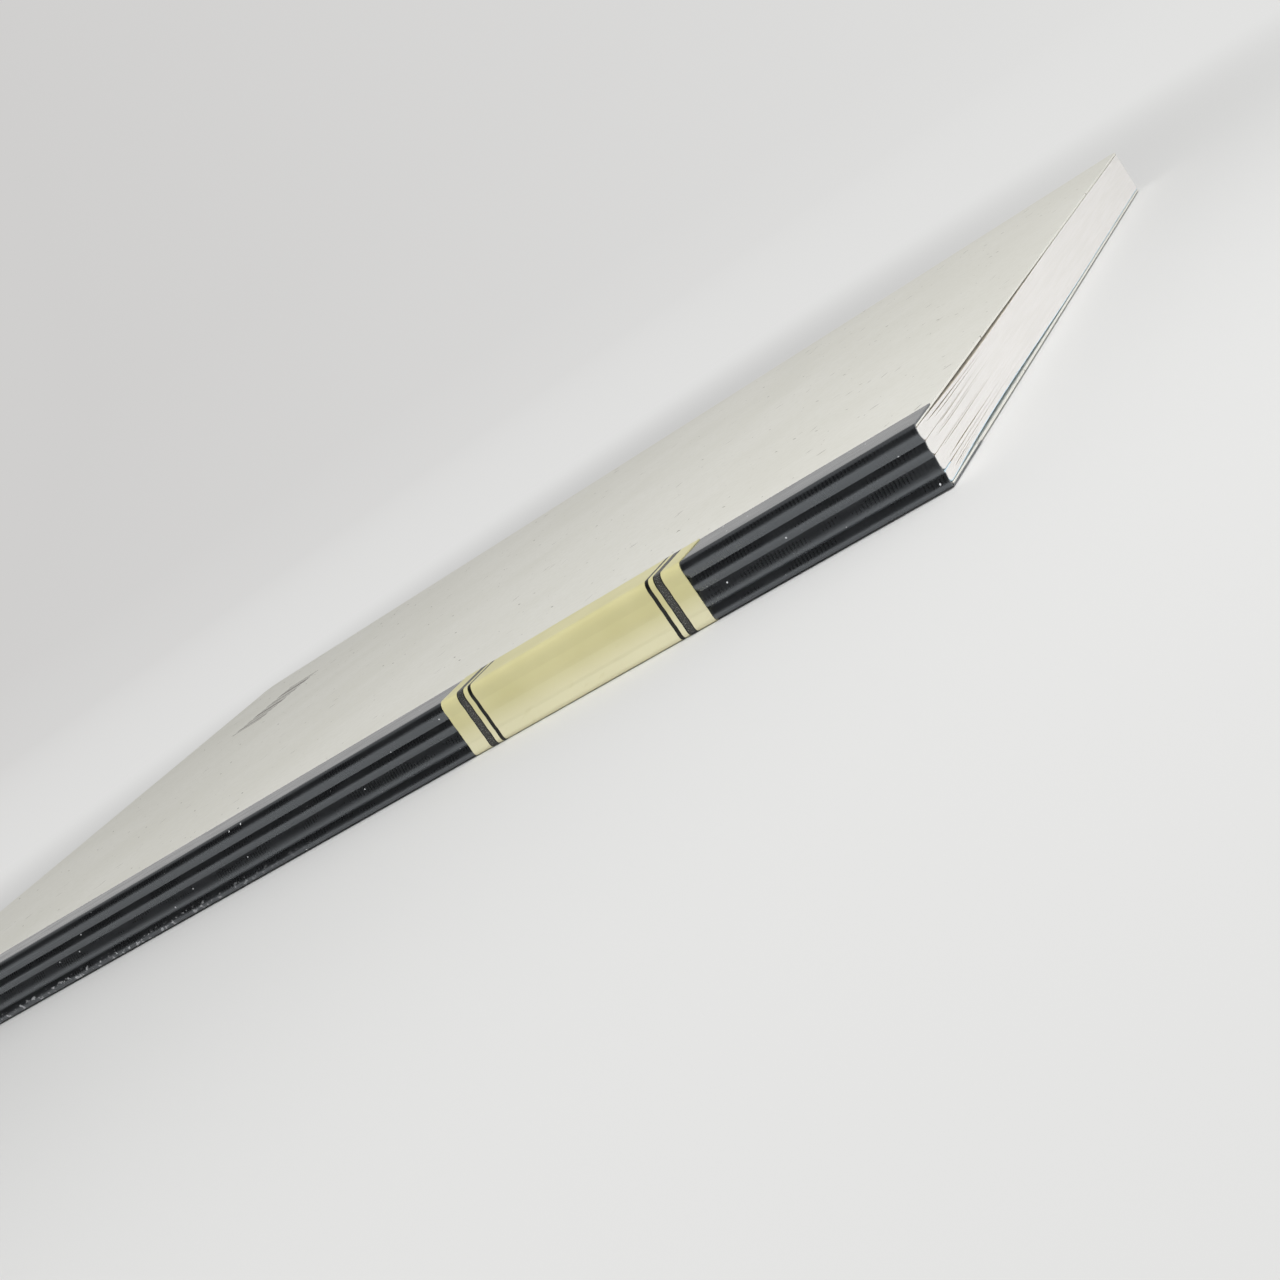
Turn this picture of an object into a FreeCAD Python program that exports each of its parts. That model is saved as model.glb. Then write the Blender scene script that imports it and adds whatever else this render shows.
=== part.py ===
import FreeCAD, Part
import os
from math import atan, cos, pi, sin

# A thread-sewn B5 notebook with card covers and a cloth-taped spine. It is closed and lies on its
# front cover. All sizes are in millimetres.
# Frame: the origin is under the middle of the book, on the plane that it lies on. +X runs along the
# spine to the head, the spine is on the -Y side, and +Z points up to the back cover.

# Trimmed size
LENGTH = 252.0           # tail to head
WIDTH = 179.0            # spine to fore-edge, over the label
CORNER_RADIUS = 2.5      # fore-edge corners, in plan

# Sheet thicknesses
LABEL_T = 0.12
CLOTH_T = 0.25
CARD_T = 0.32
FLYLEAF_T = 0.10
GLUE_T = 0.08            # over the crown of a fold; the valleys are filled deeper
GLUE_DEPTH = 0.90        # of the filled valleys, behind the crowns
GLUE_END = 0.8           # the glue stops this far inside the head and the tail
CLOTH_SINK = 0.10        # how deep the pressed cloth sits in the card

# Page block
SECTION_H = (1.60, 2.09, 2.03, 1.80)  # heights of the folds, from the front; the flyleaf is in the first
COVER_GAP = 0.12         # air between a cover and the outermost leaf
FOLD_GAP = 0.08          # between two sections at the spine
FOLD_GAP_DEPTH = 34.0    # where that gap has closed
FORE_GROOVE = 0.12       # width and depth of the parting lines on the fore-edge
STUB = 3.0               # the flyleaf's hooked-in strip, between the first two sections

# Spine
RIDGE_DEPTH = 0.38       # cloth, from the crown of a fold to the valley beside it
LABEL_RIDGE_DEPTH = 0.12 # the label bridges the valleys
CROWN_SHARE = 0.62       # part of each bend's radius that goes to the crown
SHOULDER_SET_BACK = 0.02 # the cloth's inner face beside a cover, behind the crowns of the folds
SHOULDER_RADIUS = 0.70   # inside of the cloth where it turns onto a cover
CARD_EDGE_RADIUS = 0.20  # pressed edge of the card inside that turn
TAPE_ON_FRONT = 17.6
TAPE_ON_BACK = 8.8

# Label: its ends are measured from the head
LABEL_START = 36.8
LABEL_END = 80.3
LABEL_ON_FRONT = 14.3
LABEL_ON_BACK = TAPE_ON_BACK

# Sewing: each row of stitches is one thread that climbs from section to section
STITCH_ROWS = 4
STITCH_SPAN = 32.0
STITCH_MARGIN = 16.0     # from the head and the tail to the nearest stitch
THREAD_RADIUS = 0.18     # half the width of the pressed, nearly square thread
LINK_DEPTH = 0.62        # of the links between sections, behind the crowns
STITCH_DEPTH = 1.30      # of the stitch inside the fold, behind the crown

# Levels along Z, from the label's lower face up
Z_FRONT_SEAT = LABEL_T + CLOTH_T
Z_FRONT_FACE = Z_FRONT_SEAT - CLOTH_SINK
Z_BLOCK_BOTTOM = Z_FRONT_FACE + CARD_T + COVER_GAP
BLOCK_H = sum(SECTION_H) + FOLD_GAP * (len(SECTION_H) - 1)
Z_BLOCK_TOP = Z_BLOCK_BOTTOM + BLOCK_H
Z_BACK_FACE = Z_BLOCK_TOP + COVER_GAP + CARD_T
Z_BACK_SEAT = Z_BACK_FACE - CLOTH_SINK

# Places along Y, from the label's outermost line in
Y_FORE_EDGE = WIDTH / 2
Y_CLOTH_CROWN = -WIDTH / 2 + LABEL_T + CLOTH_T
Y_BLOCK = Y_CLOTH_CROWN + GLUE_T
Y_SHOULDER = Y_BLOCK + SHOULDER_SET_BACK

# Each fold: the height of its centre, and its radius. A parting lies halfway between two folds.
FOLDS = [(Z_BLOCK_BOTTOM + sum(SECTION_H[:n]) + n * FOLD_GAP + height / 2, height / 2)
         for n, height in enumerate(SECTION_H)]
PARTINGS = [z + radius + FOLD_GAP / 2 for z, radius in FOLDS[:-1]]


def at(y, z):
    """A point of a cross-section at the tail end."""
    return FreeCAD.Vector(-LENGTH / 2, y, z)


def line(start, end):
    return Part.makeLine(at(*start), at(*end))


def polyline(points):
    return [line(a, b) for a, b in zip(points, points[1:])]


def arc(centre, radius, start, end):
    """An arc in a cross-section; angles are in degrees, from +Y towards +Z."""
    def on_circle(degrees):
        angle = degrees * pi / 180
        return at(centre[0] + radius * cos(angle), centre[1] + radius * sin(angle))
    return Part.Arc(on_circle(start), on_circle((start + end) / 2), on_circle(end)).toShape()


def extrude(edges, length=LENGTH):
    """The solid that a closed cross-section sweeps from the tail end towards the head."""
    wire = Part.Wire([edge for group in Part.sortEdges(edges) for edge in group])
    return Part.Face(wire).extrude(FreeCAD.Vector(length, 0, 0))


def plan(z, height):
    """The trimmed outline of the book as a plate, with its two round fore-edge corners."""
    plate = Part.makeBox(LENGTH, WIDTH, height, FreeCAD.Vector(-LENGTH / 2, -WIDTH / 2, z))
    corners = [edge for edge in plate.Edges
               if abs(edge.BoundBox.ZLength - height) < 1e-6 and edge.BoundBox.YMin > 0]
    return plate.makeFillet(CORNER_RADIUS, corners)


def bend(start, end, offset):
    """Two tangent arcs that leave start and reach end along Z, moved out from the spine by offset."""
    step = end[0] - start[0]
    rise = end[1] - start[1]
    turn = 2 * atan(abs(step) / rise)
    radii = rise / sin(turn)
    side = 1 if step > 0 else -1
    crown, valley = radii * CROWN_SHARE, radii * (1 - CROWN_SHARE)
    first, last = (crown, valley) if side > 0 else (valley, crown)
    turn *= 180 / pi
    if side > 0:
        angles = (180, 180 - turn), (-turn, 0)
    else:
        angles = (0, turn), (180 + turn, 180)
    return [arc((start[0] + side * first, start[1]), first + side * offset, *angles[0]),
            arc((end[0] - side * last, end[1]), last - side * offset, *angles[1])]


def wrap(ridge_depth, offset, on_front, on_back):
    """The line of a sheet that wraps the spine, from the front cover over the folds to the back."""
    low, high = Z_FRONT_SEAT + SHOULDER_RADIUS, Z_BACK_SEAT - SHOULDER_RADIUS
    corner = Y_SHOULDER + SHOULDER_RADIUS
    turns = [(Y_SHOULDER, low), (Y_SHOULDER, high)]
    turns += [(Y_CLOTH_CROWN, z) for z, _ in FOLDS]
    turns += [(Y_CLOTH_CROWN + ridge_depth, z) for z in PARTINGS]
    turns.sort(key=lambda turn: turn[1])
    edges = [line((Y_SHOULDER + on_front, Z_FRONT_SEAT - offset), (corner, Z_FRONT_SEAT - offset)),
             arc((corner, low), SHOULDER_RADIUS + offset, 270, 180)]
    for start, end in zip(turns, turns[1:]):
        edges += bend(start, end, offset)
    edges += [arc((corner, high), SHOULDER_RADIUS + offset, 180, 90),
              line((corner, Z_BACK_SEAT + offset), (Y_SHOULDER + on_back, Z_BACK_SEAT + offset))]
    return edges


def wrapped_sheet(ridge_depth, inner, outer, on_front, on_back, length=LENGTH):
    """A sheet that wraps the spine, between two offsets from the cloth's inner face."""
    ends = [line((Y_SHOULDER + on_front, Z_FRONT_SEAT - inner), (Y_SHOULDER + on_front, Z_FRONT_SEAT - outer)),
            line((Y_SHOULDER + on_back, Z_BACK_SEAT + inner), (Y_SHOULDER + on_back, Z_BACK_SEAT + outer))]
    faces = [wrap(ridge_depth, offset, on_front, on_back) for offset in (inner, outer)]
    return extrude(faces[0] + faces[1] + ends, length)


def thread_run(start, end):
    """A straight run of thread between two points, square in section, that ends a radius past both."""
    margin = FreeCAD.Vector(THREAD_RADIUS, THREAD_RADIUS, THREAD_RADIUS)
    size = end - start + 2 * margin
    return Part.makeBox(size.x, size.y, size.z, start - margin)


def make_sewing_thread():
    """Rows of stitches: a run inside each fold, and links that climb behind the folds at its ends."""
    pitch = (LENGTH - 2 * STITCH_MARGIN - STITCH_SPAN) / (STITCH_ROWS - 1)
    y_link, y_inside = Y_BLOCK + LINK_DEPTH, Y_BLOCK + STITCH_DEPTH
    rows = []
    for row in range(STITCH_ROWS):
        first_hole = -LENGTH / 2 + STITCH_MARGIN + row * pitch
        holes = (first_hole, first_hole + STITCH_SPAN)
        runs = []
        for z, _ in FOLDS:
            runs.append([FreeCAD.Vector(x, y_inside, z) for x in holes])
            runs += [[FreeCAD.Vector(x, y, z) for y in (y_link, y_inside)] for x in holes]
        runs += [[FreeCAD.Vector(x, y_link, z) for z in (FOLDS[0][0], FOLDS[-1][0])] for x in holes]
        pieces = [thread_run(*run) for run in runs]
        rows.append(pieces[0].fuse(pieces[1:]).removeSplitter())
    return Part.makeCompound([solid for row in rows for solid in row.Solids])


def make_page_block(thread):
    """Four sections of folded sheets, one solid: round folds at the spine, with gaps between them."""
    bottom = Z_BLOCK_BOTTOM + FLYLEAF_T
    z, radius = FOLDS[0]
    y_fold, stub_top = Y_BLOCK + radius, z + radius
    edges = polyline([(Y_FORE_EDGE, bottom), (y_fold, bottom)])
    edges.append(arc((y_fold, z), radius - FLYLEAF_T, 270, 90))
    gap_start = (y_fold + STUB, stub_top)
    edges += polyline([(y_fold, stub_top - FLYLEAF_T), (y_fold + STUB, stub_top - FLYLEAF_T), gap_start])
    for parting, (z, radius) in zip(PARTINGS, FOLDS[1:]):
        y_fold = Y_BLOCK + radius
        edges += polyline([gap_start, (y_fold + FOLD_GAP_DEPTH, parting), (y_fold, z - radius)])
        edges.append(arc((y_fold, z), radius, 270, 90))
        gap_start = (y_fold, z + radius)
    outline = [gap_start, (Y_FORE_EDGE, Z_BLOCK_TOP)]
    for parting in reversed(PARTINGS):
        outline += [(Y_FORE_EDGE, parting + FORE_GROOVE / 2), (Y_FORE_EDGE - FORE_GROOVE, parting),
                    (Y_FORE_EDGE, parting - FORE_GROOVE / 2)]
    edges += polyline(outline + [(Y_FORE_EDGE, bottom)])
    return extrude(edges).common(plan(Z_BLOCK_BOTTOM, BLOCK_H)).cut(thread)


def make_flyleaf(thread):
    """A coloured leaf over the first section, hooked round its fold and in behind it."""
    z, radius = FOLDS[0]
    y_fold = Y_BLOCK + radius
    bottom, top = z - radius, z + radius
    inner_bottom, inner_top = bottom + FLYLEAF_T, top - FLYLEAF_T
    edges = polyline([(y_fold, inner_bottom), (Y_FORE_EDGE, inner_bottom),
                      (Y_FORE_EDGE, bottom), (y_fold, bottom)])
    edges.append(arc((y_fold, z), radius, 270, 90))
    edges += polyline([(y_fold, top), (y_fold + STUB, top), (y_fold + STUB, inner_top), (y_fold, inner_top)])
    edges.append(arc((y_fold, z), radius - FLYLEAF_T, 90, 270))
    return extrude(edges).common(plan(bottom, BLOCK_H)).cut(thread)


def make_spine_glue(inner_pieces):
    """Glue between the folds and the cloth: a film on the crowns, thick in the valleys."""
    y_back = Y_BLOCK + GLUE_DEPTH
    behind = y_back - Y_SHOULDER
    ends = [line((y_back, Z_FRONT_SEAT), (y_back, Z_BACK_SEAT))]
    core = extrude(wrap(RIDGE_DEPTH, 0, behind, behind) + ends)
    height = BLOCK_H + 2 * COVER_GAP
    corner = FreeCAD.Vector(-LENGTH / 2 + GLUE_END, -WIDTH / 2, Z_BLOCK_BOTTOM - COVER_GAP)
    between_covers = Part.makeBox(LENGTH - 2 * GLUE_END, WIDTH, height, corner)
    return core.common(between_covers).cut(Part.makeCompound(inner_pieces))


def make_cover(outer_face, inwards, tape_width):
    """A card cover, pressed thinner where the cloth lies on it, with a round spine edge there."""
    inner_face = outer_face + inwards * CARD_T
    seat = outer_face + inwards * CLOTH_SINK
    tape_edge = Y_SHOULDER + tape_width
    corner = (Y_SHOULDER + SHOULDER_RADIUS, seat + inwards * CARD_EDGE_RADIUS)
    spine_edge = corner[0] - CARD_EDGE_RADIUS
    edges = polyline([(corner[0], seat), (tape_edge, seat), (tape_edge, outer_face),
                      (Y_FORE_EDGE, outer_face), (Y_FORE_EDGE, inner_face),
                      (spine_edge, inner_face), (spine_edge, corner[1])])
    edges.append(arc(corner, CARD_EDGE_RADIUS, 180, 180 + inwards * 90))
    return extrude(edges).common(plan(min(outer_face, inner_face), CARD_T))


def make_spine_tape():
    """Cloth tape formed over the folds, round both shoulders and onto the covers."""
    return wrapped_sheet(RIDGE_DEPTH, 0, CLOTH_T, TAPE_ON_FRONT, TAPE_ON_BACK)


def make_spine_label():
    """Paper label over the tape; it bridges the valleys and ends on both covers."""
    label = wrapped_sheet(LABEL_RIDGE_DEPTH, CLOTH_T, CLOTH_T + LABEL_T,
                          LABEL_ON_FRONT, LABEL_ON_BACK, LABEL_END - LABEL_START)
    label.translate(FreeCAD.Vector(LENGTH - LABEL_END, 0, 0))
    return label


thread = make_sewing_thread()
page_block = make_page_block(thread)
flyleaf = make_flyleaf(thread)
nodes = {
    "page_block": page_block,
    "flyleaf": flyleaf,
    "sewing_thread": thread,
    "spine_glue": make_spine_glue([page_block, flyleaf, thread]),
    "front_cover": make_cover(Z_FRONT_FACE, 1, TAPE_ON_FRONT),
    "back_cover": make_cover(Z_BACK_FACE, -1, TAPE_ON_BACK),
    "spine_tape": make_spine_tape(),
    "spine_label": make_spine_label(),
}

os.makedirs("parts", exist_ok=True)
for name, shape in nodes.items():
    shape.exportStep(f"parts/{name}.step")
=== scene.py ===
import random
from math import cos, pi, radians, sin, sqrt, tan, tau

import bpy
from mathutils import Matrix, Vector, noise


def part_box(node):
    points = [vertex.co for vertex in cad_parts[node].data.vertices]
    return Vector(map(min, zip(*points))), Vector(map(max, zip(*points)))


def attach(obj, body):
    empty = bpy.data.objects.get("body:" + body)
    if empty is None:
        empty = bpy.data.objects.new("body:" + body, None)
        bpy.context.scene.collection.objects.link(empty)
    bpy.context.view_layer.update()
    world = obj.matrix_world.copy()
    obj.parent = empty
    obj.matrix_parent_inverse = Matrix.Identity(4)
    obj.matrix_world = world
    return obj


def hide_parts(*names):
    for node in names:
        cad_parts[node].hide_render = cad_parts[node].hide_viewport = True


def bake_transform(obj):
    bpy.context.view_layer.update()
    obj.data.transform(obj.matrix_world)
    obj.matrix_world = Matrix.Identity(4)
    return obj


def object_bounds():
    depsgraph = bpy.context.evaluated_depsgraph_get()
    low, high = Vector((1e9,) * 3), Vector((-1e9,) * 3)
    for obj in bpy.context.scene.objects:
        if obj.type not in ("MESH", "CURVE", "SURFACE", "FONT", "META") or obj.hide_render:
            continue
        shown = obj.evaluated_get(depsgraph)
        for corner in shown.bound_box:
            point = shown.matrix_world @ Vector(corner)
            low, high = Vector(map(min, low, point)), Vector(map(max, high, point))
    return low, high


# Looks for a thread-sewn notebook that lies closed on its front cover. Metres, in the packed
# model's frame: +X along the spine to the head, the spine on the -Y side, +Z to the back cover.

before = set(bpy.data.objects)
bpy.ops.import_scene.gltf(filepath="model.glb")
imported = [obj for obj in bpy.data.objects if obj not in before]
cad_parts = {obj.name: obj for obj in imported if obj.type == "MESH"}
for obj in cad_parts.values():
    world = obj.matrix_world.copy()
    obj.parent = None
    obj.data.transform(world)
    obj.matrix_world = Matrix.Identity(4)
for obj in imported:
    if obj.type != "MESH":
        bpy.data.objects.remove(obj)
cad_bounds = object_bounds()
rng = random.Random(7)
MM = 0.001
TOUCH = 1e-9                    # heights this close are the same
CROWN_TOLERANCE = 0.002 * MM    # a vertex of the tape this close to its lowest Y is on a crown

# Thicknesses and gaps, as the solids have them
CLOTH_T = 0.25 * MM
LABEL_T = 0.12 * MM
FLYLEAF_T = 0.10 * MM
FOLD_GAP = 0.08 * MM
FOLD_GAP_DEPTH = 34 * MM        # where the gap between two sections has closed
STUB = 3.0 * MM
CORNER_RADIUS = 2.5 * MM        # fore-edge corners, in plan

# Relief of the sheets over the folds. A shoulder is its set-back behind the crowns and its radius,
# both of the cloth's inner face. A ridge's side is part round wave and part parabola, which makes the
# valley tighter than the crown.
FRONT_SHOULDER = (0.05 * MM, 0.45 * MM)
BACK_SHOULDER = (0.10 * MM, 0.70 * MM)
RIDGE_DEPTH = 0.38 * MM
LABEL_RIDGE_DEPTH = 0.06 * MM
WAVE_SHARE, PARABOLA_SHARE = 0.55, 0.45
CROWN_LEAN = (-0.74 * MM, -0.88 * MM, -0.20 * MM, 0.12 * MM)   # of each ridge, from its fold's middle
VALLEY_LEAN = (-0.32 * MM, -0.06 * MM, -0.02 * MM)
RIB_PITCH = 0.56 * MM
EASE = 0.8 * MM                 # over which the cloth's ribs fade out, beyond a shoulder

# Unevenness of the pressed sheets: its height and the length of its waves. The ridges' own waves
# change from one height on the spine to the next.
RIDGE_UNEVEN, RIDGE_WAVE, RIDGE_CHANGE = 0.018 * MM, 40 * MM, 1.1 * MM
CLOTH_UNEVEN, CLOTH_WAVE = 0.006 * MM, 5 * MM
LABEL_UNEVEN, LABEL_WAVE = 0.012 * MM, 9 * MM

# Points along the wrapped line: over the ridges, and in a shoulder's bow, its arc and the flat part
RIDGE_POINTS = 110
BOW_POINTS, ARC_POINTS, FLAT_POINTS = 16, 14, 12
HALVINGS = 40                   # in the search for a shoulder's slope

# Points round a leaf's fold, a round corner of the book, and along a leaf from its fold: as shares of
# the stub, and then to the fore-edge, further and further apart
FOLD_POINTS, CORNER_POINTS = 13, 8
NEAR_SHARES = (0, 0.25, 0.5, 0.8, 1.0)
FAR_POINTS, FAR_POWER = 26, 1.3

# Places along X at which the sheets have points, without those at the leaves' round corners
TAPE_STATIONS, LABEL_STATIONS, LEAF_STATIONS = 170, 60, 4

# Leaves: next to a cover they sag away from it, by these depths at about 34 mm from the spine
LEAF_PITCH = 0.100 * MM
LEAF_HAIR = 0.003 * MM          # between two leaves that lie together
TRIM_SPREAD = 0.014             # unevenness of the cut edges at head and tail, in mm
STUB_FADE = 8 * MM              # where the first section has closed over the flyleaf's stub
SAG_FRONT = 0.42 * MM
SAG_BACK = 0.45 * MM
SAG_START, SAG_REACH = 2.5 * MM, 112 * MM
SAG_POWER = 0.55                # below 1, so that the deepest point is nearer the spine

# A few pairs of leaves in each section part near the spine: ranges, in mm, for how far they part and
# for where the parting starts and ends
PARTED_PAIRS = 3
PARTED_BY, PARTED_FROM, PARTED_TO = (0.05, 0.11), (1, 9), (16, 48)

# Printed bands, from each end of the label
BAND_FROM_END = 3.1 * MM
BAND_WIDTH = 1.3 * MM
BAND_RIM = 0.17 * MM            # black edge on both sides of the grey band
LINE_FROM_END = 5.2 * MM
LINE_WIDTH = 0.6 * MM

# Ruling of the pages
RULE_PITCH = 7.0 * MM
RULE_MARGIN = 24.0 * MM
RULE_WIDTH = 0.22 * MM
LEVEL = 0.97                    # a normal's height, above which it belongs to a leaf's face

# Printed bars on the back cover: the width of each, and the space after it, in mm
BARS = ((0.7, 1.3), (0.7, 1.0), (3.0, 1.6), (0.8, 1.0), (1.5, 1.5), (0.7, 1.1), (2.8, 1.4), (1.2, 1.0),
        (0.7, 1.3), (1.8, 1.2), (0.7, 1.0))
BARS_FROM_TAIL, BARS_FROM_FORE_EDGE = 30.5 * MM, 31.0 * MM
BAR_LENGTH = 10 * MM
INK_T = 0.008 * MM

# Stage: the floor turns up into a round backdrop, in points of (radius, height). It is lit near the
# middle and even further out, and shaded towards the tail's side.
TURN_STEPS = 96
FLOOR_PROFILE = [(0.001, 0), (0.3, 0), (0.9, 0), (1.8, 0), (2.4, 0.08), (2.8, 0.35), (3.0, 0.8), (3.05, 1.6)]
FLOOR_FADE = (0.13, 0.36)       # distances from the middle between which the lit floor fades out
SHADED_X, PALE_X = -1.8, 0.2
AIR_STRENGTH = 0.335
FLAG_RADIUS, FLAG_HEIGHTS = 0.8, (0.05, 1.3)
FLAG_ANGLES, FLAG_POINTS = (radians(196), radians(344)), 32


# ---------------------------------------------------------------- measures taken from the frame

leaf_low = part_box("flyleaf")[0]
block_low, block_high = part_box("page_block")
tape_low, tape_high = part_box("spine_tape")
label_low, label_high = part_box("spine_label")
back_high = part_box("back_cover")[1]

HALF_LENGTH = block_high.x
FORE_EDGE = block_high.y
FRONT_SEAT = tape_low.z + CLOTH_T
BACK_SEAT = tape_high.z - CLOTH_T
CROWN_Y = tape_low.y + CLOTH_T
BOOK_MIDDLE = (FRONT_SEAT + BACK_SEAT) / 2


def wrap_edge(node, above):
    """Y of a wrapped sheet's edge on the back cover, or on the front cover if above is False."""
    return max(v.co.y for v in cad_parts[node].data.vertices if (v.co.z > BOOK_MIDDLE) == above)


def find_folds():
    """Height and radius of each section's fold; the cloth's ridges stand over their crowns."""
    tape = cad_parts["spine_tape"].data.vertices
    heights = sorted({round(v.co.z, 5) for v in tape if v.co.y < tape_low.y + CROWN_TOLERANCE})
    bottom, found = leaf_low.z, []
    for z in heights:
        found.append((z, z - bottom))
        bottom = z + found[-1][1] + FOLD_GAP
    return found


folds = find_folds()
crowns = [z + lean for (z, radius), lean in zip(folds, CROWN_LEAN)]
valleys = [z + radius + FOLD_GAP / 2 + lean for (z, radius), lean in zip(folds, VALLEY_LEAN)]
SPLIT_Z = valleys[1]          # the cloth and the label are in two halves, which meet in this valley


# ---------------------------------------------------------------- mesh tools

def steps(start, end, count):
    """count numbers, evenly spaced, with both ends."""
    return [start + (end - start) * n / (count - 1) for n in range(count)]


def wander(x, y, size, seed):
    """Smooth noise between about -1 and 1, in waves about size long. Each seed gives its own."""
    return noise.noise(Vector((x / size, y / size, seed)))


def new_object(name, vertices, faces, uvs=None, sharp=40):
    """A smooth mesh object with sharp edges where it turns by more than sharp degrees. uvs holds a
    pair for each vertex."""
    mesh = bpy.data.meshes.new(name)
    mesh.from_pydata(vertices, [], faces)
    if uvs:
        layer = mesh.uv_layers.new(name="sheet")
        for loop in mesh.loops:
            layer.data[loop.index].uv = uvs[loop.vertex_index]
    mesh.shade_smooth()
    mesh.set_sharp_from_angle(angle=radians(sharp))
    obj = bpy.data.objects.new(name, mesh)
    bpy.context.scene.collection.objects.link(obj)
    return obj


def loft(rings, start=0):
    """Faces of a closed solid through rings of equal length, each a strip's outer line and then its
    inner line back; both ends are closed with quads across the strip."""
    count, size = len(rings), len(rings[0])
    faces = []
    for r in range(count - 1):
        for c in range(size):
            d = (c + 1) % size
            a, b = start + r * size, start + (r + 1) * size
            faces.append((a + c, b + c, b + d, a + d))
    last = start + (count - 1) * size
    for n in range(size // 2 - 1):
        quad = (n, n + 1, size - 2 - n, size - 1 - n)
        faces.append(tuple(start + q for q in quad))
        faces.append(tuple(last + q for q in quad[::-1]))
    return faces


def plan_edge(x):
    """Y of the trimmed fore-edge at x; it is less within the two round corners."""
    into = abs(x) - (HALF_LENGTH - CORNER_RADIUS)
    if into <= 0:
        return FORE_EDGE
    return FORE_EDGE - CORNER_RADIUS + sqrt(max(CORNER_RADIUS ** 2 - into ** 2, 0))


def stations(inner_count):
    """Places along X from tail to head, close together at the round corners."""
    corner = [CORNER_RADIUS * sin(a) for a in steps(0, pi / 2, CORNER_POINTS)]
    start = HALF_LENGTH - CORNER_RADIUS
    inside = steps(-start, start, inner_count)
    return [-start - c for c in reversed(corner[1:])] + inside + [start + c for c in corner[1:]]


# ---------------------------------------------------------------- spine: cloth and label

def shoulder_slope(gap, set_back, radius):
    """The angle at which the cloth leaves its bow over an outermost crown for the round shoulder
    that starts gap further on, so that the two meet without a kink."""
    low, high = 0.05, 1.2
    for n in range(HALVINGS):
        angle = (low + high) / 2
        rise = (gap + radius * sin(angle)) * tan(angle) / 2
        if rise < set_back + radius * (1 - cos(angle)):
            low = angle
        else:
            high = angle
    return angle


def spine_y(z, depth):
    """Y of the wrapped line at height z over the folds: round crowns and tighter valleys."""
    for low, valley, high in zip(crowns, valleys, crowns[1:]):
        if z <= high:
            crown = low if z < valley else high
            share = (z - crown) / (valley - crown)
            return CROWN_Y + depth * (WAVE_SHARE * (1 - cos(pi * share)) / 2
                                      + PARABOLA_SHARE * share ** 2)


def shoulder(crown, seat, inwards, cover_y, set_back, radius):
    """Points (y, z) from an outermost crown round a shoulder, and along the cover to cover_y."""
    start = seat + inwards * radius
    angle = shoulder_slope(abs(start - crown), set_back, radius)
    end = abs(start - crown) + radius * sin(angle)
    bow = tan(angle) / (2 * end)
    corner = CROWN_Y + set_back + radius
    line = [(CROWN_Y + bow * d * d, crown - inwards * d) for d in steps(0, end, BOW_POINTS)[1:]]
    line += [(corner - radius * cos(a), start - inwards * radius * sin(a))
             for a in steps(angle, pi / 2, ARC_POINTS)[1:]]
    return line + [(y, line[-1][1]) for y in steps(corner, cover_y, FLAT_POINTS)[1:]]


def wrap_line(depth, on_front, on_back):
    """Points (y, z) of the cloth's inner face, from the front cover over the spine to the back."""
    levels = sorted([*steps(crowns[0], crowns[-1], RIDGE_POINTS), *valleys, *crowns[1:-1]])
    front = shoulder(crowns[0], FRONT_SEAT, 1, on_front, *FRONT_SHOULDER)
    back = shoulder(crowns[-1], BACK_SEAT, -1, on_back, *BACK_SHOULDER)
    return front[::-1] + [(spine_y(z, depth), z) for z in levels] + back


def line_runs(line):
    """How far along the line each of its points is."""
    runs = [0.0]
    for a, b in zip(line, line[1:]):
        runs.append(runs[-1] + (Vector(b) - Vector(a)).length)
    return runs


def wrapped_sheet(name, line, inner, outer, places, lift, keep):
    """A closed sheet that follows a line round the spine, between two offsets from it. lift(x, run)
    moves its outer face, and keep(z) says which part of the line it holds. Its UVs are metres
    along X and along the line."""
    runs, normals = line_runs(line), []
    for n in range(len(line)):
        before, after = line[max(n - 1, 0)], line[min(n + 1, len(line) - 1)]
        along = Vector((after[0] - before[0], after[1] - before[1])).normalized()
        normals.append((-along.y, along.x))
    held = [n for n in range(len(line)) if keep(line[n][1])]
    rings, uvs = [], []
    for x in places:
        ring = []
        for n in held + held[::-1]:
            front = len(ring) < len(held)
            offset = outer + lift(x, runs[n]) if front else inner
            ring.append((x, line[n][0] + offset * normals[n][0], line[n][1] + offset * normals[n][1]))
            uvs.append((x, runs[n]))
        rings.append(ring)
    faces = loft(rings)
    return new_object(name, [p for ring in rings for p in ring], faces, uvs)


def cloth_lift(x, run):
    """Slight unevenness of the pressed cloth along each ridge, and all over."""
    along_ridge = RIDGE_UNEVEN * wander(x, 0, RIDGE_WAVE, run / RIDGE_CHANGE)
    return along_ridge + CLOTH_UNEVEN * wander(x, run, CLOTH_WAVE, 3)


def label_lift(x, run):
    """Slight unevenness of the label."""
    return LABEL_UNEVEN * wander(x, run, LABEL_WAVE, 8)


def in_front_half(z):
    return z <= SPLIT_Z + TOUCH


def in_back_half(z):
    return z >= SPLIT_Z - TOUCH


def ride_both(obj, cover, seat, inwards, set_back, radius):
    """Bakes the sheet's placement into its mesh."""
    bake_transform(obj)


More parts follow.
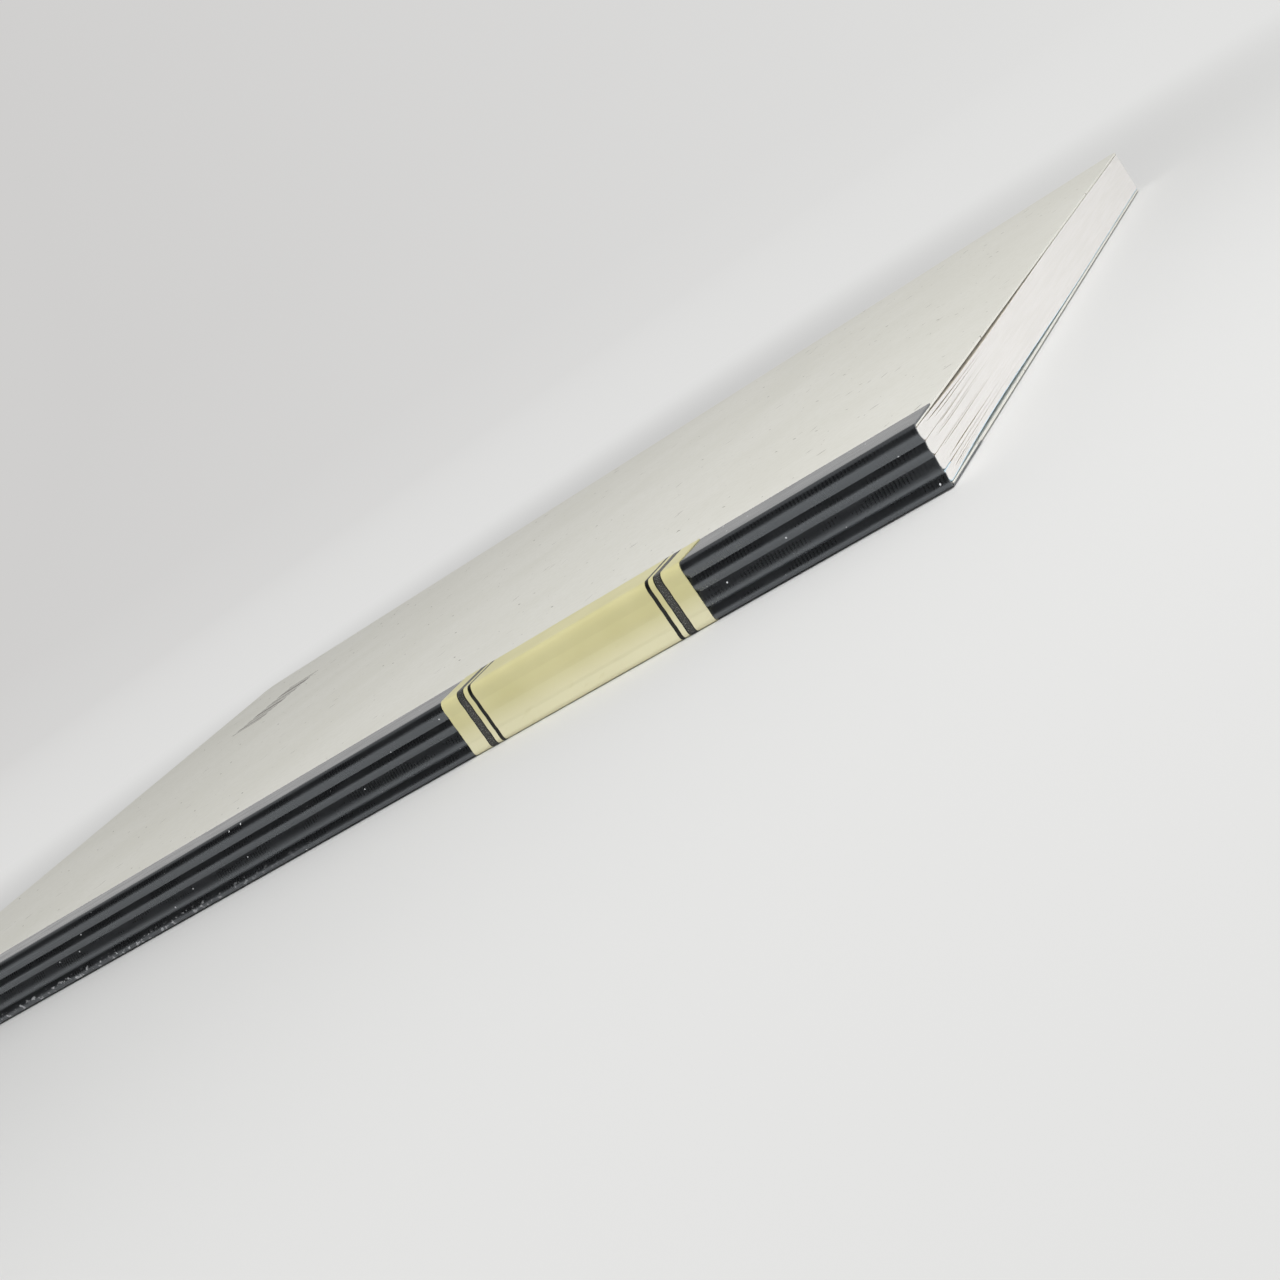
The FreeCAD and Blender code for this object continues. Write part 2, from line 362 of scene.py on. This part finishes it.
tape_line = wrap_line(RIDGE_DEPTH, wrap_edge("spine_tape", False), wrap_edge("spine_tape", True))
tape_places = steps(tape_low.x, tape_high.x, TAPE_STATIONS)
tape_front = wrapped_sheet("spine_tape_front_half", tape_line, 0, CLOTH_T, tape_places, cloth_lift,
                           in_front_half)
tape_back = wrapped_sheet("spine_tape_back_half", tape_line, 0, CLOTH_T, tape_places, cloth_lift,
                          in_back_half)

label_line = wrap_line(LABEL_RIDGE_DEPTH, wrap_edge("spine_label", False), wrap_edge("spine_label", True))
label_places = steps(label_low.x, label_high.x, LABEL_STATIONS)
label_front = wrapped_sheet("spine_label_front_half", label_line, CLOTH_T, CLOTH_T + LABEL_T,
                            label_places, label_lift, in_front_half)
label_back = wrapped_sheet("spine_label_back_half", label_line, CLOTH_T, CLOTH_T + LABEL_T,
                           label_places, label_lift, in_back_half)


# ---------------------------------------------------------------- pages

def sag(y):
    """How far the leaves next to a cover hang away from it, from 0 to 1."""
    share = min(max((y - block_low.y - SAG_START) / SAG_REACH, 0), 1)
    return sin(pi * share ** SAG_POWER) ** 2


def leaf_faces(bottoms, tops, count, places):
    """Heights of the lower and the upper face of each leaf in a section, at each of the places along
    Y. A few pairs of leaves part near the spine; elsewhere only a hair is left between them."""
    gaps = [(rng.randrange(1, count), rng.uniform(*PARTED_BY) * MM, rng.uniform(*PARTED_FROM) * MM,
             rng.uniform(*PARTED_TO) * MM) for n in range(PARTED_PAIRS)]
    leaves = [([], []) for n in range(count)]
    for y, bottom, top in zip(places, bottoms, tops):
        opened = [0.0] * count
        for n, size, start, end in gaps:
            share = min(max((y - block_low.y - start) / (end - start), 0), 1)
            opened[n] += size * sin(pi * share ** 0.5)
        thickness = (top - bottom - sum(opened)) / count
        z = bottom
        for (low, high), gap in zip(leaves, opened):
            low.append(z + gap + LEAF_HAIR / 2)
            z += gap + thickness
            high.append(z - LEAF_HAIR / 2)
    return leaves


def folded_sheet(outside, inside, places, x, fore_edge, stub=None):
    """One ring of points round a folded sheet at x. outside and inside each hold the heights of the
    lower and the upper leaf's face at the places; stub cuts the upper leaf short."""
    lines = []
    for low, high in (outside, inside):
        radius, centre = (high[0] - low[0]) / 2, (high[0] + low[0]) / 2
        line = [(x, min(y, fore_edge), z) for y, z in zip(places, low)][::-1]
        line += [(x, places[0] + radius * cos(a), centre + radius * sin(a))
                 for a in steps(1.5 * pi, pi / 2, FOLD_POINTS)[1:-1]]
        reach = fore_edge if stub is None else places[0] + stub
        line += [(x, min(y, reach), z) for y, z in zip(places, high)]
        lines.append(line)
    return lines[0] + lines[1][::-1]


def leaf_places(fold_y):
    """Places along a leaf from its fold to the fore-edge, closer together near the fold."""
    near = [fold_y + STUB * share for share in NEAR_SHARES]
    start, end = near[-1], FORE_EDGE - CORNER_RADIUS
    far = [start + (end - start) * share ** FAR_POWER for share in steps(0, 1, FAR_POINTS)[1:-1]]
    return near + far + [end, FORE_EDGE]


def section_faces(n, places):
    """Heights of a section's lower and upper face at the places: beside its neighbours it opens out
    until the gap between them has closed, and beside a cover it sags away from it."""
    z, radius = folds[n]
    bottoms, tops = [], []
    for y in places:
        closed = FOLD_GAP / 2 * min(max((y - places[0]) / FOLD_GAP_DEPTH, 0), 1)
        bottoms.append(z - radius + (SAG_FRONT * sag(y) if n == 0 else -closed))
        tops.append(z + radius + (closed if n < len(folds) - 1 else -SAG_BACK * sag(y)))
    return bottoms, tops


def make_pages():
    """All the folded sheets of the sections as one piece."""
    vertices, faces = [], []
    for n, (z, radius) in enumerate(folds):
        places = leaf_places(block_low.y + radius)
        bottoms, tops = section_faces(n, places)
        if n == 0:                      # inside the flyleaf, and above its hooked-in strip
            bottoms = [level + FLYLEAF_T for level in bottoms]
            tops = [level - FLYLEAF_T * (1 - min(max((y - places[0] - STUB) / STUB_FADE, 0), 1))
                    for y, level in zip(places, tops)]
        sheets = round((tops[0] - bottoms[0]) / LEAF_PITCH / 2)
        leaves = leaf_faces(bottoms, tops, 2 * sheets, places)
        for k in range(sheets):
            lower, upper = leaves[k], leaves[2 * sheets - 1 - k]
            trims = [rng.uniform(0, TRIM_SPREAD) * MM for end in range(2)]
            rings = []
            for x in stations(LEAF_STATIONS):
                placed = x * (1 - (trims[0] if x < 0 else trims[1]) / HALF_LENGTH)
                rings.append(folded_sheet((lower[0], upper[1]), (lower[1], upper[0]), places, placed,
                                          plan_edge(x)))
            faces += loft(rings, len(vertices))
            vertices += [p for ring in rings for p in ring]
    return new_object("page_leaves", vertices, faces)


def make_flyleaf():
    """The blue leaf over the first section, hooked round its fold and in behind it."""
    places = leaf_places(block_low.y + folds[0][1])
    bottoms, tops = section_faces(0, places)
    inner_bottoms, inner_tops = [z + FLYLEAF_T for z in bottoms], [z - FLYLEAF_T for z in tops]
    trim = 1 - LEAF_HAIR / HALF_LENGTH
    rings = [folded_sheet((bottoms, tops), (inner_bottoms, inner_tops), places, x * trim, plan_edge(x),
                          STUB) for x in stations(LEAF_STATIONS)]
    return new_object("blue_flyleaf", [p for ring in rings for p in ring], loft(rings))


pages = make_pages()
flyleaf = make_flyleaf()


# ---------------------------------------------------------------- printed bars on the back cover

def make_code_bars():
    """Plain bars with no data in them: they only stand for the printed block of a price code."""
    low_x, y = -HALF_LENGTH + BARS_FROM_TAIL, FORE_EDGE - BARS_FROM_FORE_EDGE
    high_x = low_x + BAR_LENGTH
    low_z, high_z = back_high.z, back_high.z + INK_T
    vertices, faces = [], []
    for width, gap in BARS:
        near, far = y, y - width * MM
        corners = [(low_x, far), (high_x, far), (high_x, near), (low_x, near)]
        base = len(vertices)
        vertices += [(x, v, z) for z in (low_z, high_z) for x, v in corners]
        faces += [tuple(base + i for i in face) for face in
                  ((3, 2, 1, 0), (4, 5, 6, 7), (0, 1, 5, 4), (1, 2, 6, 5), (2, 3, 7, 6), (3, 0, 4, 7))]
        y = far - gap * MM
    return new_object("code_bars", vertices, faces)


code_bars = make_code_bars()


# ---------------------------------------------------------------- materials

def colour(red, green, blue):
    """The linear colour of an sRGB value from 0 to 255."""
    channels = []
    for value in (red, green, blue):
        c = value / 255
        channels.append(c / 12.92 if c <= 0.04045 else ((c + 0.055) / 1.055) ** 2.4)
    return (*channels, 1.0)


class Surface:
    """A node material with one Principled BSDF, and short ways to add nodes to it."""

    def __init__(self, name, **constants):
        self.material = bpy.data.materials.new(name)
        self.material.use_nodes = True
        self.tree = self.material.node_tree
        self.shader = self.tree.nodes["Principled BSDF"]
        for socket, value in constants.items():
            self.shader.inputs[socket.replace("_", " ")].default_value = value

    def add(self, kind, inputs=(), **settings):
        """A new node. inputs pairs a socket's name or number with a value or another socket."""
        node = self.tree.nodes.new(kind)
        for name, value in settings.items():
            setattr(node, name, value)
        for socket, value in inputs:
            if isinstance(value, bpy.types.NodeSocket):
                self.tree.links.new(value, node.inputs[socket])
            else:
                node.inputs[socket].default_value = value
        return node

    def math(self, operation, a, b=0.0, c=0.0):
        """The result of a Math node."""
        return self.add("ShaderNodeMath", [(0, a), (1, b), (2, c)], operation=operation).outputs[0]

    def place(self, kind="Object", stretch=(1, 1, 1), turn=0.0):
        """Coordinates in metres, in which a pattern is stretched along axes turned about Z."""
        source = self.add("ShaderNodeTexCoord").outputs[kind]
        return self.add("ShaderNodeMapping", [("Vector", source), ("Scale", stretch),
                                              ("Rotation", (0, 0, turn))],
                        vector_type="TEXTURE").outputs[0]

    def noise(self, place, size, detail):
        """Noise in patches about size metres across."""
        return self.add("ShaderNodeTexNoise", [("Vector", place), ("Scale", 1 / size),
                                               ("Detail", detail)]).outputs[0]

    def specks(self, place, size, dimensions="3D"):
        """Sparse points about size metres apart: the distance to the nearest one in units of size,
        and a number from 0 to 1 that is its own."""
        node = self.add("ShaderNodeTexVoronoi", [("Vector", place), ("Scale", 1 / size)],
                        voronoi_dimensions=dimensions)
        return node.outputs["Distance"], self.separate(node.outputs["Color"])[0]

    def separate(self, vector):
        """The three parts of a vector or colour."""
        return self.add("ShaderNodeSeparateXYZ", [(0, vector)]).outputs

    def ramp(self, value, low, high, start=0.0, end=1.0, form="SMOOTHSTEP"):
        """value mapped from low..high to start..end, smoothly unless form is LINEAR."""
        return self.add("ShaderNodeMapRange", [("Value", value), ("From Min", low), ("From Max", high),
                                               ("To Min", start), ("To Max", end)],
                        interpolation_type=form).outputs[0]

    def mix(self, share, a, b):
        """Colour a where share is 0 and b where it is 1."""
        node = self.add("ShaderNodeMix", data_type="RGBA")
        for socket, value in ((0, share), (6, a), (7, b)):
            if isinstance(value, bpy.types.NodeSocket):
                self.tree.links.new(value, node.inputs[socket])
            else:
                node.inputs[socket].default_value = value
        return node.outputs[2]

    def set(self, socket, value):
        """Lead value into one of the shader's sockets."""
        self.tree.links.new(value, self.shader.inputs[socket])

    def bump(self, *layers):
        """Relief from pairs of a height from 0 to 1 and its depth in metres."""
        normal = None
        for height, depth in layers:
            inputs = [("Height", height), ("Distance", depth), ("Strength", 1.0)]
            if normal:
                inputs.append(("Normal", normal))
            normal = self.add("ShaderNodeBump", inputs).outputs[0]
        self.set("Normal", normal)


def card_material():
    """Warm grey recycled card: a soft mottle, sparse dark fibres, and a fine tooth."""
    s = Surface("grey_card", Roughness=0.85, Specular_IOR_Level=0.2)
    place = s.place()
    mottle = s.ramp(s.noise(place, 22 * MM, 3), 0.3, 0.7)
    base = s.mix(mottle, colour(211, 210, 202), colour(215, 214, 207))
    cloudy = s.ramp(s.noise(place, 1.3 * MM, 3), 0.35, 0.75, 0, 0.30)
    base = s.mix(cloudy, base, colour(202, 200, 190))
    for turn, stretch, size in ((0.4, (2.2, 0.6, 1), 4.6), (1.2, (2.8, 0.5, 1), 4.8),
                                (2.3, (2.0, 0.6, 1), 4.0), (1.6, (1.3, 0.8, 1), 2.2)):
        reach, chosen = s.specks(s.place(stretch=stretch, turn=turn), size * MM)
        shape = s.math("ADD", reach, s.math("MULTIPLY", s.noise(place, 0.35 * MM, 2), 0.08))
        marks = s.math("MULTIPLY", s.ramp(shape, 0.14, 0.09), s.ramp(chosen, 0.45, 0.95, 0, 0.9))
        base = s.mix(marks, base, colour(140, 136, 128))
    s.set("Base Color", base)
    s.bump((s.noise(place, 0.9 * MM, 3), 0.008 * MM), (s.noise(place, 0.2 * MM, 2), 0.005 * MM))
    return s.material


def ruled_paper_material():
    """White writing paper: hardly streaked at the cut edges, and warmer on a leaf's faces, which are
    ruled across."""
    s = Surface("ruled_paper", Roughness=0.8, Specular_IOR_Level=0.25)
    place = s.place()
    streaks = s.noise(s.place(stretch=(30, 30, 1)), 0.45 * MM, 2)
    base = s.mix(s.ramp(streaks, 0.3, 0.7), colour(215, 213, 210), colour(219, 217, 215))
    split = s.separate(place)
    off = s.math("SUBTRACT", s.math("PINGPONG", split[0], RULE_PITCH / 2), RULE_PITCH / 2)
    ruled = s.math("LESS_THAN", s.math("ABSOLUTE", off), RULE_WIDTH / 2)
    in_height = s.math("LESS_THAN", split[0], HALF_LENGTH - RULE_MARGIN)
    upright = s.separate(s.add("ShaderNodeNewGeometry").outputs["Normal"])[2]
    on_face = s.math("GREATER_THAN", s.math("ABSOLUTE", upright), LEVEL)
    base = s.mix(on_face, base, colour(222, 216, 205))
    line = s.math("MULTIPLY", s.math("MULTIPLY", ruled, in_height), on_face)
    s.set("Base Color", s.mix(s.math("MULTIPLY", line, 0.75), base, colour(150, 168, 190)))
    s.bump((s.noise(place, 0.35 * MM, 2), 0.003 * MM))
    return s.material


def blue_paper_material():
    """Light blue flyleaf paper, a little mottled."""
    s = Surface("blue_paper", Roughness=0.75, Specular_IOR_Level=0.3)
    place = s.place()
    base = s.mix(s.ramp(s.noise(place, 5 * MM, 4), 0.3, 0.7), colour(186, 210, 222), colour(197, 218, 228))
    fine = s.noise(place, 0.3 * MM, 2)
    s.set("Base Color", s.mix(s.ramp(fine, 0.55, 0.75, 0, 0.25), base, colour(212, 227, 233)))
    s.bump((fine, 0.005 * MM))
    return s.material


def run_at(line, z):
    """How far along the line its point on the spine at height z is."""
    spine = [(abs(p[1] - z), run) for p, run in zip(line, line_runs(line)) if p[0] < CROWN_Y + 0.5 * MM]
    return min(spine)[1]


def tape_material():
    """Black book cloth with a glossy coat: ribs across the spine with painted shade between them,
    painted highlights on crease lines, white scuffs on the front shoulder, and dust."""
    s = Surface("black_book_cloth", IOR=1.8, Specular_IOR_Level=1.0, Specular_Tint=(0.88, 0.94, 1.0, 1.0))
    sheet = s.place("UV")
    along, run = s.separate(sheet)[:2]

    # Ribs: fainter in patches, and where the cloth lies flat on a cover
    front_edge, back_edge = run_at(tape_line, FRONT_SEAT), run_at(tape_line, BACK_SEAT)
    on_cover = s.math("MAXIMUM", s.ramp(run, front_edge, front_edge - EASE),
                      s.ramp(run, back_edge, back_edge + EASE))
    waver = s.math("MULTIPLY", s.noise(sheet, 3 * MM, 2), 0.10 * MM)
    turn = s.math("MULTIPLY", s.math("ADD", along, waver), tau / RIB_PITCH)
    pressed = s.ramp(s.noise(s.place("UV", (4, 1, 1)), 1.5 * MM, 2), 0.3, 0.7, 0.24, 0.40)
    pressed = s.math("MULTIPLY", pressed, s.math("MULTIPLY_ADD", on_cover, -0.6, 1.0))
    ribs = s.math("MULTIPLY_ADD", s.math("SINE", turn), pressed, 0.5)
    worn = s.ramp(s.noise(s.place("UV", (5, 1, 1)), 2.0 * MM, 4), 0.5, 0.8)
    base = s.mix(worn, colour(13, 14, 16), colour(21, 22, 25))
    # Painted shade: the cloth is darker between the ribs
    base = s.mix(ribs, colour(8, 8, 9), base)

    # Painted highlights on crease lines along the ridges towards the tail: height on spine, width of each
    tail = s.ramp(along, -0.02, -0.10)
    threads = s.noise(s.place("UV", (8, 1, 1)), 0.8 * MM, 2)
    frayed = s.math("MULTIPLY", s.math("SUBTRACT", threads, 0.5), 0.12 * MM)
    crease_highlights = 0.0
    for z, width in ((crowns[3] - 0.45 * MM, 0.05 * MM), (crowns[3] - 0.10 * MM, 0.04 * MM),
                     (crowns[2] + 0.05 * MM, 0.03 * MM)):
        off = s.math("ABSOLUTE", s.math("SUBTRACT", run, run_at(tape_line, z)))
        off = s.math("ADD", off, frayed)
        crease_highlights = s.math("MAXIMUM", crease_highlights, s.ramp(off, width * 1.8, width * 0.6))
    crease_highlights = s.math("MULTIPLY", crease_highlights, s.math("MULTIPLY", tail, s.ramp(threads, 0.35, 0.55, 0.1, 0.55)))
    base = s.mix(crease_highlights, base, colour(120, 124, 128))

    # Scuffs on the front shoulder, towards the tail
    shoulder = s.math("ABSOLUTE", s.math("SUBTRACT", run, run_at(tape_line, FRONT_SEAT + 0.45 * MM)))
    rubbed = s.math("MULTIPLY", s.ramp(shoulder, 0.75 * MM, 0.2 * MM), s.ramp(along, 0.02, -0.03))
    torn = s.ramp(s.noise(s.place("UV", (1.6, 1, 1)), 0.55 * MM, 3), 0.57, 0.62)
    scuffs = s.math("MULTIPLY", rubbed, torn)
    base = s.mix(s.math("MULTIPLY", scuffs, 0.85), base, colour(178, 180, 182))

    # Dust: the few specks whose own number is high, and larger the higher it is
    reach, chosen = s.specks(sheet, 2.6 * MM, "2D")
    dust = s.math("LESS_THAN", reach, s.ramp(chosen, 0.84, 1.0, 0.0, 0.05))
    s.set("Base Color", s.mix(dust, base, colour(214, 216, 218)))

    # Gloss: least between the ribs, most on the covers
    patches = s.ramp(s.noise(s.place("UV", (4, 1, 1)), 1.8 * MM, 3), 0.3, 0.7, 0.22, 0.30)
    patches = s.math("MULTIPLY_ADD", on_cover, -0.16, patches)
    between = s.math("MULTIPLY", s.math("SUBTRACT", 1.0, ribs), 0.12)
    s.set("Roughness", s.math("ADD", patches, between))
    s.bump((ribs, 0.010 * MM), (s.noise(sheet, 0.5 * MM, 3), 0.006 * MM))
    return s.material


def label_material():
    """Cream label paper, painted lighter on its front half as light from below, with a speckled grey band,
    edged in black, and a thin black line at each end."""
    s = Surface("cream_label", Roughness=0.42, Specular_IOR_Level=0.5)
    sheet = s.place("UV")
    along, run = s.separate(sheet)[:2]
    middle, half = (label_low.x + label_high.x) / 2, (label_high.x - label_low.x) / 2
    from_end = s.math("SUBTRACT", half, s.math("ABSOLUTE", s.math("SUBTRACT", along, middle)))
    ragged = s.math("MULTIPLY", s.math("SUBTRACT", s.noise(sheet, 0.3 * MM, 2), 0.5), 0.02 * MM)
    edge = s.math("ADD", from_end, ragged)

    def band(start, width):
        """1 in a band across the label near both of its ends."""
        centre = s.math("ABSOLUTE", s.math("SUBTRACT", edge, start + width / 2))
        return s.math("LESS_THAN", centre, width / 2)

    mottle = s.ramp(s.noise(sheet, 12 * MM, 2), 0.35, 0.65)
    base = s.mix(mottle, colour(202, 196, 145), colour(208, 202, 153))
    # Painted light from below: the label is lighter towards the front cover, fading out towards the back
    blend_share = s.ramp(run, run_at(label_line, FRONT_SEAT + 1 * MM), run_at(label_line, BACK_SEAT - 3 * MM),
                   0.62, 0)
    base = s.mix(blend_share, base, colour(232, 228, 200))
    fibres = s.ramp(s.noise(s.place("UV", (3, 1, 1), 0.4), 1.0 * MM, 2), 0.62, 0.75, 0, 0.22)
    base = s.mix(fibres, base, colour(203, 196, 148))
    speckle = s.ramp(s.noise(sheet, 0.12 * MM, 1), 0.60, 0.70)
    grey = s.mix(speckle, colour(52, 52, 50), colour(150, 149, 144))
    ink = colour(10, 10, 10)
    base = s.mix(band(BAND_FROM_END, BAND_WIDTH), base, ink)
    base = s.mix(band(BAND_FROM_END + BAND_RIM, BAND_WIDTH - 2 * BAND_RIM), base, grey)
    base = s.mix(band(LINE_FROM_END, LINE_WIDTH), base, ink)
    s.set("Base Color", base)
    s.bump((s.noise(sheet, 0.3 * MM, 3), 0.003 * MM))
    return s.material


def plain_material(name, dark, light, size, roughness, depth):
    """A material that varies between two colours in patches, with a fine relief."""
    s = Surface(name, Roughness=roughness, Specular_IOR_Level=0.3)
    place = s.place()
    patches = s.noise(place, size, 3)
    s.set("Base Color", s.mix(s.ramp(patches, 0.3, 0.7), dark, light))
    s.bump((patches, depth))
    return s.material


card = card_material()
cloth = tape_material()
cream = label_material()
finishes = [
    (pages, ruled_paper_material()), (flyleaf, blue_paper_material()),
    (tape_front, cloth), (tape_back, cloth), (label_front, cream), (label_back, cream),
    (code_bars, plain_material("bar_ink", colour(128, 125, 121), colour(146, 142, 137), 0.4 * MM, 0.7,
                               0.001 * MM)),
    (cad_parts["front_cover"], card), (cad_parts["back_cover"], card),
    (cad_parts["spine_glue"], plain_material("clear_glue", colour(176, 160, 134),
                                                  colour(206, 194, 170), 1.2 * MM, 0.4, 0.02 * MM)),
    (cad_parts["sewing_thread"], plain_material("white_thread", colour(214, 212, 205),
                                                     colour(235, 233, 228), 0.1 * MM, 0.8, 0.02 * MM)),
]
for obj, material in finishes:
    obj.data.materials.clear()
    obj.data.materials.append(material)


# ---------------------------------------------------------------- bodies, and the spine's cloth and label

for obj, slot in ((pages, "pages"), (flyleaf, "flyleaf")):
    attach(obj, "block")
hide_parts("page_block")
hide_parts("flyleaf")
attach(code_bars, "back")

for obj, slot in ((tape_front, "cloth"), (label_front, "label")):
    ride_both(obj, "front", FRONT_SEAT, 1, *FRONT_SHOULDER)
for obj, slot in ((tape_back, "cloth"), (label_back, "label")):
    ride_both(obj, "back", BACK_SEAT, -1, *BACK_SHOULDER)
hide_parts("spine_tape")
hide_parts("spine_tape")
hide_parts("spine_label")
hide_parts("spine_label")


# ---------------------------------------------------------------- floor, backdrop and light

PALE = colour(227, 227, 226)
SHADED = colour(208, 207, 206)
FLOOR = colour(217, 217, 216)


def revolve(name, profile, count):
    """A smooth round surface from a profile of (radius, height) points, in count steps round."""
    vertices, faces = [], []
    for radius, height in profile:
        for n in range(count):
            vertices.append((radius * cos(tau * n / count), radius * sin(tau * n / count), height))
    for r in range(len(profile) - 1):
        for n in range(count):
            d = (n + 1) % count
            faces.append((r * count + n, r * count + d, (r + 1) * count + d, (r + 1) * count + n))
    return new_object(name, vertices, faces, sharp=180)


def floor_material():
    """Pale paper that keeps the object's shadow, and fades into the even backdrop with distance."""
    s = Surface("pale_floor", Base_Color=FLOOR, Roughness=0.9, Specular_IOR_Level=0.1)
    place = s.add("ShaderNodeTexCoord").outputs["Object"]
    tone = s.mix(s.ramp(s.separate(place)[0], SHADED_X, PALE_X, form="LINEAR"), SHADED, PALE)
    glow = s.add("ShaderNodeEmission", [("Color", tone)]).outputs[0]
    distance = s.add("ShaderNodeVectorMath", [(0, place)], operation="LENGTH").outputs["Value"]
    blend_share = s.ramp(distance, *FLOOR_FADE)
    blend = s.add("ShaderNodeMixShader", [(0, blend_share), (1, s.shader.outputs[0]), (2, glow)]).outputs[0]
    s.tree.links.new(blend, s.tree.nodes["Material Output"].inputs["Surface"])
    return s.material


floor = revolve("floor", FLOOR_PROFILE, TURN_STEPS)
floor.data.materials.append(floor_material())
floor.location.z = cad_bounds[0].z

world = bpy.data.worlds.new("studio")
world.use_nodes = True
bpy.context.scene.world = world
air = world.node_tree.nodes["Background"]
air.inputs["Color"].default_value = (1, 1, 1, 1)
air.inputs["Strength"].default_value = AIR_STRENGTH


def soft_light(name, place, size, power):
    """A square area lamp that faces the object."""
    data = bpy.data.lights.new(name, "AREA")
    data.size, data.energy = size, power
    lamp = bpy.data.objects.new(name, data)
    lamp.location = place
    lamp.rotation_euler = (-Vector(place)).to_track_quat("-Z", "Y").to_euler()
    bpy.context.scene.collection.objects.link(lamp)


soft_light("key", place=(0.44, -0.20, 0.5), size=0.5, power=3.4)
soft_light("front", place=(0.9, -1.3, 0.6), size=1.4, power=6.2)


def make_flag():
    """A black cloth on a stand before the spine, seen only in its gloss, as beside a studio table."""
    angles = steps(*FLAG_ANGLES, FLAG_POINTS)
    vertices = [(FLAG_RADIUS * cos(a), FLAG_RADIUS * sin(a), z) for z in FLAG_HEIGHTS for a in angles]
    faces = [(n, n + 1, FLAG_POINTS + n + 1, FLAG_POINTS + n) for n in range(FLAG_POINTS - 1)]
    flag = new_object("black_flag", vertices, faces)
    s = Surface("black_flag_cloth", Roughness=1.0, Specular_IOR_Level=0.0)
    s.set("Base Color", s.mix(s.noise(s.place(), 0.05, 2), colour(6, 6, 6), colour(14, 14, 14)))
    flag.data.materials.append(s.material)
    flag.visible_camera = flag.visible_diffuse = flag.visible_shadow = False
    flag.visible_transmission = flag.visible_volume_scatter = False


make_flag()


# ---------------------------------------------------------------- camera

AIM = Vector((0.0782, -0.0893, 0.0029))
AZIMUTH, ELEVATION, ROLL = radians(30.36), radians(8.66), radians(34.78)
DISTANCE = 0.2594
LENS, SENSOR = 55.46, 36        # in mm, as Blender takes them

camera_data = bpy.data.cameras.new("camera")
camera_data.lens, camera_data.sensor_width = LENS, SENSOR
camera_data.clip_start, camera_data.clip_end = 0.01, 20
camera = bpy.data.objects.new("camera", camera_data)
bpy.context.scene.collection.objects.link(camera)
away = Vector((sin(AZIMUTH) * cos(ELEVATION), -cos(AZIMUTH) * cos(ELEVATION), sin(ELEVATION)))
level = (-away).to_track_quat("-Z", "Y").to_matrix().to_4x4()
camera.matrix_world = Matrix.Translation(AIM + away * DISTANCE) @ level @ Matrix.Rotation(-ROLL, 4, "Z")
bpy.context.scene.camera = camera
bpy.context.scene.view_settings.view_transform = "Standard"
